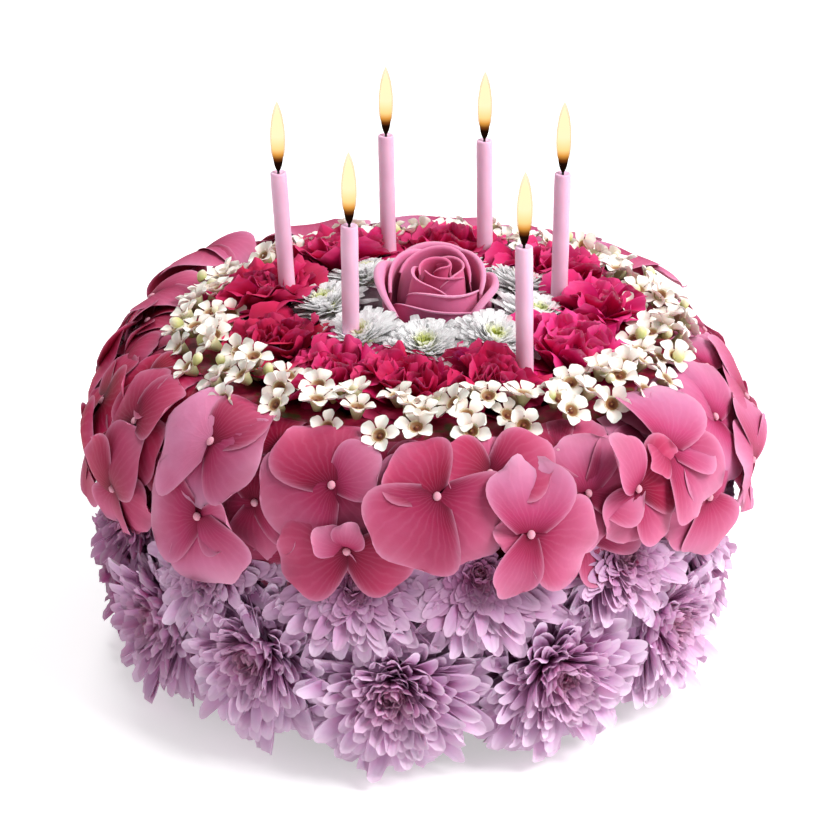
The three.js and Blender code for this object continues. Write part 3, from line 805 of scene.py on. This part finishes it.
# Each row of waxflowers is [radius, height, lean outwards]. They stand wider apart in front.
WAX_ROWS = [(85.0, 143.0, 0.0), (92.0, 145.5, 0.2), (98.5, 144.5, 0.45), (104.5, 139.5, 1.0)]
WAX_FRONT_GAP = 11.0
RING_BED = {"inside": 82.0, "outside": 104.0, "low": 121.0, "high": 135.5}
CARNATION_PETAL = Outline(8, 15, base=0.16, peak=0.85, blunt=0.86, tip=0.22, teeth=0.012)
DAISY_PETAL = Outline(5, 3, base=0.5, peak=0.6, blunt=0.75, tip=0.04)
DAISY_DOME = [(0, -12), (7.0, -11), (9.5, -6.5), (7.5, -1.0), (4.0, 3.0), (1.6, 4.6), (0, 4.8)]
CARNATION_SINK = 4.0
CARNATION_PETALS = 34
DAISY_PETALS = 170


def waxflowers(shape, count, buds):
    rng = np.random.default_rng(11)
    ring_middle = np.array([*RING_CENTRE, 0])
    row = np.arange(count) % len(WAX_ROWS)
    angle = np.arange(count) / count * 360
    angle = angle + WAX_FRONT_GAP * np.sin(np.radians(angle)) + rng.normal(0, 1.3, count)
    radius, height, lean = np.array(WAX_ROWS)[row].T
    radius = radius + rng.normal(0, 1.8, count)
    height = height + rng.normal(0, 1.5, count)
    spots = np.array([around(*spot) for spot in zip(radius, angle, height)]) + ring_middle
    axes = np.array([direction(turn) * tilt for turn, tilt in zip(angle, lean)])
    axes = axes + np.array([0, 0, 1]) + rng.normal(0, 0.3, (count, 3))
    rotation = turned(axes, rng.uniform(0, 72, count))
    size = rng.uniform(0.95, 1.2, count)
    owner = np.repeat(np.arange(count), 5)
    local = petals(
        WAX_PETAL, count * 5, np.tile(np.arange(5) * 2 * math.pi / 5, count),
        WAX_PETAL_LENGTH * size[owner], WAX_PETAL_LENGTH / 2 * size[owner],
        np.radians(rng.normal(34, 12, count * 5)), np.radians(rng.normal(-2, 16, count * 5)),
        root=2.5, height=0.3, cup=0.42, thick=0.6)
    marks = petal_marks(WAX_PETAL, count * 5, rng.uniform(0, 1, count * 5), 0)
    shape.add(carried(local, rotation[owner], spots[owner]), WAX_PETAL.faces, marks)
    cup, faces, marks = lathe(WAX_CUP, 14, tier=0.5)
    cups = np.broadcast_to(cup, (count,) + cup.shape)
    shape.add(carried(cups, rotation, spots), faces, marks)
    bud, faces, marks = lathe(WAX_BUD, 10, tier=0.75)
    angle = rng.uniform(0, 360, buds)
    spots = ring_middle + np.array([around(spot, turn, rise) for spot, turn, rise in zip(
        rng.choice(WAX_BUD_RADII, buds), angle, rng.uniform(141, 147, buds))])
    axes = np.array([0, 0, 1]) + rng.normal(0, 0.35, (buds, 3))
    local = bud[None] * rng.uniform(0.8, 1.15, (buds, 1, 1))
    shape.add(carried(local, turned(axes, 0), spots), faces, marks)


def ring_bed(shape, inside, outside, low, high):
    """A rough ring of stems under the small flowers."""
    segments = 96
    section = [(inside, low), (outside, low), (outside, high - 4), (outside - 5, high), (inside + 3, high),
               (inside, high - 3)]
    angles = np.linspace(0, 2 * np.pi, segments, endpoint=False)
    radii, heights = np.array(section).T[:, :, None]
    rough = 0.6 * np.sin(angles * 37) + 0.5 * np.sin(angles * 23 + 1)
    lift = np.where(heights > low, rough, 0)
    points = np.stack([RING_CENTRE[0] + radii * np.sin(angles), RING_CENTRE[1] - radii * np.cos(angles),
                       heights + lift], axis=2).reshape(-1, 3)
    near = np.arange(segments)
    far = (near + 1) % segments
    count = len(section)
    bands = [np.stack([row * segments + near, row * segments + far, (row + 1) % count * segments + far,
                       (row + 1) % count * segments + near], axis=1) for row in range(count)]
    shape.add(points[None], [np.concatenate(bands)], np.array([0, 0, 0, 1.0]))


def carnation(shape, seed, angle, scale, tone):
    """Crimped petals in the middle, and broad smooth ones round them."""
    rng = np.random.default_rng(seed)
    count = CARNATION_PETALS
    tier = (np.arange(count) + 0.5) / count
    azimuth = np.arange(count) * GOLDEN_ANGLE + rng.normal(0, 0.2, count)
    broad = np.clip((tier - 0.62) / 0.38, 0, 1)
    local = petals(
        CARNATION_PETAL, count, azimuth, blend(21, 30, tier) * rng.normal(1, 0.06, count),
        blend(7.0, 11.0, tier) + 5.5 * broad, np.radians(blend(92, 52, tier) + rng.normal(0, 6, count)),
        np.radians(blend(80, -24, tier ** 1.3) + rng.normal(0, 12, count)), root=1.0, height=-14.0,
        wave=blend(3.0, 2.0, tier) * rng.uniform(0.7, 1.25, count),
        waves=rng.uniform(1.2, 2.3, count) - 0.6 * broad, phase=rng.uniform(0, 6.3, count),
        twist=rng.normal(0, 0.35, count), cup=rng.uniform(-0.2, 0.4, count), thick=0.35, power=1.3)
    spread = np.array([scale, scale, blend(1.0, scale, 0.4)])
    sink = CARNATION_SINK * max(math.cos(math.radians(angle)), 0)
    centre = around(CARNATION_RING, angle, CARNATION_HEIGHT - sink)
    centre = centre + np.array([*RING_CENTRE, 0]) / 2
    axis = direction(angle) * 0.2 + np.array([0, 0, 1])
    marks = petal_marks(CARNATION_PETAL, count, np.clip(tone + rng.normal(0, 0.12, count), 0, 1), tier)
    shape.add(carried(local * spread, turned(axis, 0)[0], centre), CARNATION_PETAL.faces, marks)


def daisy(shape, seed, angle):
    rng = np.random.default_rng(seed)
    count = DAISY_PETALS
    tier = ((np.arange(count) + 0.5) / count) ** 0.85
    azimuth = np.arange(count) * GOLDEN_ANGLE + rng.normal(0, 0.1, count)
    local = petals(
        DAISY_PETAL, count, azimuth, blend(3.0, 17.5, tier ** 0.8) * rng.normal(1, 0.06, count),
        blend(1.0, 2.5, tier), np.radians(blend(80, 20, tier ** 0.9) + rng.normal(0, 5, count)),
        np.radians(blend(84, -8, tier ** 0.8) + rng.normal(0, 8, count)), root=1.0 + 3.0 * tier,
        height=4.0 - 5.5 * tier, cup=0.25, lean=rng.normal(0, 0.04, count), thick=0.25)
    centre = around(DAISY_RING, angle, DAISY_HEIGHT) + np.array([*DAISY_CENTRE, 0])
    axis = direction(angle) * 0.3 + np.array([0, 0, 1])
    rotation = turned(axis, 0)[0]
    marks = petal_marks(DAISY_PETAL, count, rng.uniform(0, 1, count), tier)
    shape.add(carried(local, rotation, centre), DAISY_PETAL.faces, marks)
    dome, faces, marks = lathe(DAISY_DOME, 16)
    marks[:, 0] = 0.7
    marks[:, 3] = np.clip((4 - dome[:, 2]) / 16, 0, 1)
    shape.add(carried(dome[None], rotation, centre), faces, marks)


# Each petal of the rose is [angle, half angle, radius, rim height, roll, spiral, closing], from the
# outside in. A petal leans in by its closing, as a share of its radius, from its widest line to its rim.
ROSE_PETALS = [
    (-92, 52, 22.0, 13.5, 4.2, 1.2, 0.0),
    (84, 50, 21.8, 12.5, 3.0, 1.2, 0.02),
    (176, 60, 21.0, 17.0, 2.6, 1.0, 0.05),
    (-4, 72, 19.6, 9.5, 1.0, 1.4, 0.03),
    (130, 60, 19.4, 17.0, 1.8, 1.4, 0.06),
    (-130, 60, 19.0, 17.5, 1.8, 1.4, 0.08),
    (10, 80, 16.4, 14.5, 1.1, 2.0, 0.10),
    (172, 86, 15.8, 19.4, 1.4, 1.6, 0.14),
    (-62, 80, 12.8, 17.6, 1.0, 2.2, 0.22),
    (96, 92, 12.0, 19.2, 1.0, 2.0, 0.26),
    (-14, 100, 9.0, 18.6, 0.9, 2.4, 0.30),
    (184, 110, 7.8, 20.4, 0.8, 1.8, 0.36),
    (64, 126, 4.6, 20.0, 0.7, 1.4, 0.40),
]
ROSE_PETAL = Outline(17, 15, base=1.0, peak=0.5, blunt=1.0, tip=0.0)
ROSE_DEPTH = 20.0
ROSE_SCALE = np.array([1.03, 1.03, 0.97])
ROSE_AXIS = (0.04, -0.16, 1)
ROSE_ROLL_START = 0.74
ROSE_THICKNESS = 0.45
ROSE_CURL = np.radians(155)


def rose_petal(angle, half_angle, radius, rim, roll, spiral, closing, rng):
    """One cupped petal wrapped round the rose's axis. Past the roll's start its rim curls out."""
    along = ROSE_PETAL.along
    across = ROSE_PETAL.across
    wall = np.clip(along / ROSE_ROLL_START, 0, 1)
    curl = np.clip((along - ROSE_ROLL_START) / (1 - ROSE_ROLL_START), 0, 1)
    swell = np.sin(np.pi / 2 * np.clip(wall / 0.6, 0, 1) ** 0.8)
    lean = 1 - closing * np.clip((wall - 0.45) / 0.55, 0, 1) ** 1.6
    reach = 2.0 + (radius - 2.0) * swell * lean + spiral * across * wall
    reach = reach + 0.4 * np.sin(across * rng.uniform(2, 4) + rng.uniform(0, 6.3)) * wall ** 2
    top = rim - (1.5 + 0.3 * radius) * np.abs(across) ** 2.4
    top = top + 0.5 * np.sin(across * rng.uniform(3, 5) + rng.uniform(0, 6.3))
    climb = blend(-ROSE_DEPTH, top, wall ** 0.9)
    bend = ROSE_CURL * curl
    size = roll * (0.42 + 0.16 * np.sin(across * rng.uniform(2, 4) + rng.uniform(0, 6.3)))

    def points(inset):
        radii = reach + size * (1 - np.cos(bend)) - inset * np.cos(bend)
        heights = climb + size * np.sin(bend) + inset * np.sin(bend)
        turn = np.radians(angle + half_angle * across * (0.5 + 0.5 * swell))
        return np.stack([radii * np.sin(turn), -radii * np.cos(turn), heights], axis=1)

    return np.concatenate([points(0), points(ROSE_THICKNESS)[ROSE_PETAL.inner]])


def rose(shape):
    rng = np.random.default_rng(5)
    rotation = turned(ROSE_AXIS, 0)[0]
    faces = [ROSE_PETAL.faces[0][:, ::-1]]
    for index, values in enumerate(ROSE_PETALS):
        local = rose_petal(*values, rng)
        inward = index / (len(ROSE_PETALS) - 1)
        marks = petal_marks(ROSE_PETAL, 1, rng.uniform(0, 1), 1 - inward)
        shape.add(carried(ROSE_SCALE * local[None], rotation, ROSE_CENTRE), faces, marks)


# Candles and flames
WICK = [(0, -1.2), (0.55, -1.1), (0.5, 1.5), (0.6, 3.4), (0.5, 4.8), (0, 5.2)]
# A flame's colours change up to its colour height, and stay the same over it.
FLAME_COLOUR_HEIGHT = 28.5
FLAME_OUTSIDE = [(0, 4.0), (2.0, 5.5), (2.8, 8), (3.1, 13), (3.0, 18), (2.2, 24), (1.1, 28), (0, 30.2)]
FLAME_INSIDE = [(0, -0.3), (1.1, 1.2), (1.8, 3.8), (2.2, 7), (2.6, 12), (2.5, 17.5), (1.6, 23.5), (0, 28.2)]


def candle(shape, base, top):
    sight = np.array([*base, CANDLE_SIGHT_HEIGHT])
    end = np.array(top, float)
    lean = (end - sight) / np.linalg.norm(end - sight)
    length = (end[2] - CANDLE_BASE) / lean[2]
    wall = [(CANDLE_RADIUS + 0.06 * math.sin(level * 1.9), -length + 0.6 + (length - 1.6) * level / 12)
            for level in range(13)]
    foot = [(0, -length), (CANDLE_RADIUS - 0.4, -length)]
    melted = [(CANDLE_RADIUS - 0.12, -0.3), (CANDLE_RADIUS - 0.55, 0.0), (CANDLE_RADIUS - 1.1, -0.15),
              (0.8, -0.7), (0, -0.7)]
    points, faces, marks = lathe(foot + wall + melted, 36)
    rotation = turned(lean, 0)[0]
    shape.add(carried(points[None], rotation, end), faces, marks)
    points, faces, marks = lathe(WICK, 10, tier=1)
    shape.add(carried(points[None], rotation, end), faces, marks)


def flame(shape, top, spots):
    """A flame over the middle of a wax top, its profile given as [radius, height]."""
    widths, heights = np.array(spots).T
    levels = np.linspace(heights[0], heights[-1], 29)
    radii = np.interp(levels, heights, widths)
    radii[1:-1] = (radii[:-2] + 2 * radii[1:-1] + radii[2:]) / 4
    points, faces, marks = lathe(list(zip(radii, levels)), 24)
    marks[:, 0] = points[:, 2] / FLAME_COLOUR_HEIGHT
    shape.add(points[None] + np.array(top, float), faces, marks)


def numbered(name, index):
    return f"{name}_{index + 1:02d}"


mum_look = mum_material()
for kind, mums, seed in (("mum_lower", LOWER_MUMS, 100), ("mum_upper", UPPER_MUMS, 150)):
    for index, (angle, height, scale) in enumerate(mums):
        node = numbered(kind, index)
        bloom = Shape()
        mum(bloom, seed + index, angle, height, scale)
        bloom.piece(node + "_bloom", mum_look, node)

hydrangea_look = hydrangea_material()
fillers = small_florets()
for arc in range(COLLAR_ARCS):
    head = Shape()
    start = FIRST_COLLAR_SEAM + arc * HEAD_SPAN
    for index, (angle, climb, layer, sepals) in enumerate(LARGE_FLORETS):
        if (angle - start) % 360 < HEAD_SPAN:
            floret(head, np.random.default_rng(250 + index), angle, climb, layer, sepals)
    for index, (angle, climb, spin, scale, layer) in enumerate(FLORETS + fillers):
        if (angle - start) % 360 < HEAD_SPAN:
            plain_floret(head, np.random.default_rng(300 + index), angle, climb, spin, scale, layer)
    head_inside(head, start)
    head.points = [narrowed(points) for points in head.points]
    node = numbered("hydrangea", arc)
    head.piece(node + "_head", hydrangea_look, node)

ring = Shape()
waxflowers(ring, count=160, buds=46)
ring_bed(ring, **RING_BED)
ring.piece("waxflowers", waxflower_material(), "waxflower_ring")

carnation_look = carnation_material()
for index, (angle, scale, tone) in enumerate(CARNATIONS):
    node = numbered("carnation", index)
    bloom = Shape()
    carnation(bloom, 400 + index, angle, scale, tone)
    bloom.piece(node + "_bloom", carnation_look, node)

daisy_look = daisy_material()
for index, angle in enumerate(DAISY_ANGLES):
    node = numbered("daisy", index)
    bloom = Shape()
    daisy(bloom, 500 + index, angle)
    bloom.piece(node + "_bloom", daisy_look, node)

bloom = Shape()
rose(bloom)
bloom.piece("rose_bloom", rose_material(), "rose")

candle_look = candle_material()
shell_look = flame_material("flame_shell", [
    (0.18, (60, 28, 8)), (0.3, (206, 140, 56)), (0.5, (228, 182, 96)), (0.85, (232, 196, 118)),
    (1.0, (240, 218, 160))], 1.0, 0.5)
glow_look = flame_material("flame_glow", [
    (0.0, (10, 4, 2)), (0.16, (22, 8, 4)), (0.22, (96, 48, 14)), (0.28, (206, 140, 62)),
    (0.36, (246, 218, 150)), (0.55, (250, 240, 208)), (1.0, (250, 238, 198))], 1.7, 0.0)
for index, (base, top) in enumerate(CANDLES):
    node = numbered("candle", index)
    stick = Shape()
    candle(stick, base, top)
    stick.piece(node + "_wax", candle_look, node)
    node = numbered("flame", index)
    outer = Shape()
    flame(outer, top, FLAME_OUTSIDE)
    outer.piece(node + "_shell", shell_look, node)
    inner = Shape()
    flame(inner, top, FLAME_INSIDE)
    inner.piece(node + "_glow", glow_look, node)

foam_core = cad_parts["foam_core"].data
foam_core.materials.clear()
foam_core.materials.append(foam_material())


# Stage
CAMERA_ELEVATION = 24.66
CAMERA_DISTANCE = 1000.0
CAMERA_AIM_HEIGHT = 96.6
CAKE_OFFSET = 6.51
PICTURE_HEIGHT = 821
FOCAL_PIXELS = 2359.87
SENSOR = 36.0
CAMERA_SIGHT_METRES = 50
FLOOR_HALF_METRES = 6.0
FLOOR_GLOW = 0.44
SKY_LIGHT = 0.43


def camera():
    data = bpy.data.cameras.new("photo_view")
    data.sensor_fit = "VERTICAL"
    data.sensor_height = SENSOR
    data.lens = FOCAL_PIXELS / PICTURE_HEIGHT * SENSOR
    data.clip_end = CAMERA_SIGHT_METRES
    eye = put("photo_view", data)
    elevation = math.radians(CAMERA_ELEVATION)
    away = CAMERA_DISTANCE * MM
    eye.location = (-CAKE_OFFSET * MM, -away * math.cos(elevation),
                    CAMERA_AIM_HEIGHT * MM + away * math.sin(elevation))
    eye.rotation_euler = (math.pi / 2 - elevation, 0, 0)
    bpy.context.scene.camera = eye


def area_light(name, place, aim, size, power):
    """A round lamp, its place, aim and size in metres and its power in watts."""
    data = bpy.data.lights.new(name, "AREA")
    data.shape = "DISK"
    data.size = size
    data.energy = power
    lamp = put(name, data)
    lamp.location = place
    toward = np.array(aim) - np.array(place)
    reach = math.hypot(toward[0], toward[1])
    lamp.rotation_euler = (math.pi / 2 + math.atan2(toward[2], reach), 0, math.atan2(-toward[0], toward[1]))


def floor():
    mesh = bpy.data.meshes.new("floor")
    half = FLOOR_HALF_METRES
    corners = [(-half, -half, 0), (half, -half, 0), (half, half, 0), (-half, half, 0)]
    mesh.from_pydata(corners, [], [(0, 1, 2, 3)])
    look = Look("floor", 0.9)
    look.colour(look.ramp(look.noise(2.0), [(0.0, (244, 244, 244)), (1.0, (246, 246, 246))]))
    look.shader.inputs["Emission Color"].default_value = (1, 1, 1, 1)
    look.shader.inputs["Emission Strength"].default_value = FLOOR_GLOW
    mesh.materials.append(look.material)
    put("floor", mesh)


camera()
floor()
world = bpy.data.worlds.new("studio")
world.use_nodes = True
background = world.node_tree.nodes["Background"].inputs
background["Color"].default_value = (1, 1, 1, 1)
background["Strength"].default_value = SKY_LIGHT
bpy.context.scene.world = world
bpy.context.scene.view_settings.view_transform = "Standard"
area_light("key", (1.0, -0.42, 1.25), (0, 0, 0.08), 1.0, 30)
area_light("back", (-0.35, 0.8, 1.25), (0, 0, 0.1), 0.5, 8)
